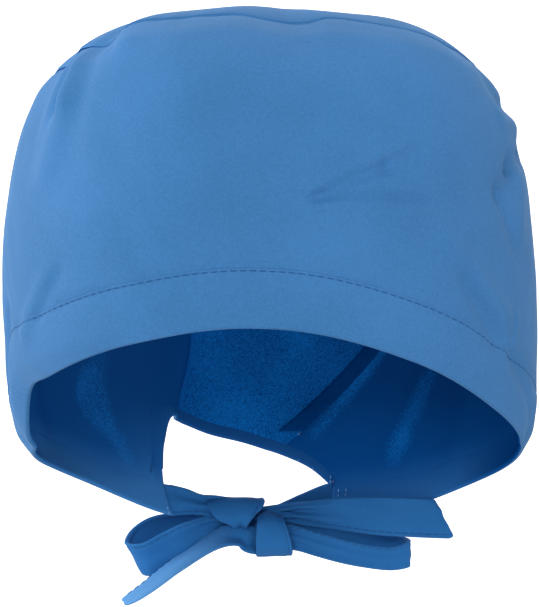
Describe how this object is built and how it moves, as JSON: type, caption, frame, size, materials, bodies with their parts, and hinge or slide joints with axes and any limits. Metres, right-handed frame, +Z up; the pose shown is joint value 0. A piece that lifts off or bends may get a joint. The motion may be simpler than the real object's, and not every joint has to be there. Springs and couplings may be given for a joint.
{
  "type": "scrub cap",
  "caption": "Cloth surgical scrub cap with an oval crown, a turned brow hem, a rear opening and two straps tied in a bow behind the head.",
  "frame": {"origin": "middle of the head at the height of the front hem's lower edge, where the head carries the cap", "axes": "+Z up through the crown, -Y towards the front of the cap, +X to the right as seen from the front"},
  "size_m": [0.1906, 0.2055, 0.22],
  "materials": {
    "cloth": "matt polyester and cotton twill",
    "hem_cloth": "matt polyester and cotton twill, two layers, topstitched",
    "tie_cloth": "matt polyester and cotton twill, folded and edge-stitched"
  },
  "bodies": {
    "root": {"crown_panel": "cloth", "side_band": "cloth", "back_panel": "cloth", "brow_hem": "hem_cloth", "back_hem": "hem_cloth", "left_tie": "tie_cloth", "right_tie": "tie_cloth"}
  },
  "joints": []
}
